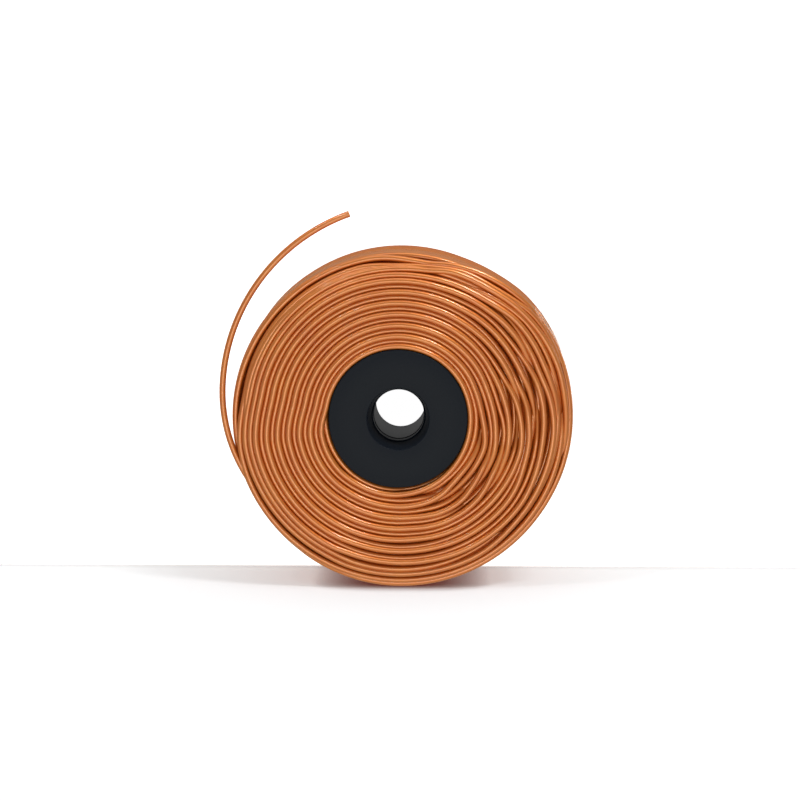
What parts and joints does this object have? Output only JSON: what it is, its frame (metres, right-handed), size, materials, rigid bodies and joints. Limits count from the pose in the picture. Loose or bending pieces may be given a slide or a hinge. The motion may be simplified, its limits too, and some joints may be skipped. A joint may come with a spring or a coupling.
{
  "type": "air core inductor",
  "caption": "Multilayer air core coil of enamelled copper wire on a black tubular bush, with a free wire end",
  "frame": {"origin": "on the coil's axis, half way between its two faces", "axes": "+Z along the axis of the coil and its bush, out of the front face with the tapered mouth; the coil stands on its back face; the free lead leaves the outer turns on the -X side, near the front, and ends on the +Y side"},
  "size_m": [0.0369, 0.0393, 0.0136],
  "materials": {
    "bush_plastic": "moulded, satin",
    "copper_wire": "bright copper under clear enamel",
    "clear_film": "clear, glossy"
  },
  "bodies": {
    "root": {"core_bush": "bush_plastic", "winding": "copper_wire", "finish_lead": "copper_wire", "clear_tape": "clear_film"}
  },
  "joints": []
}
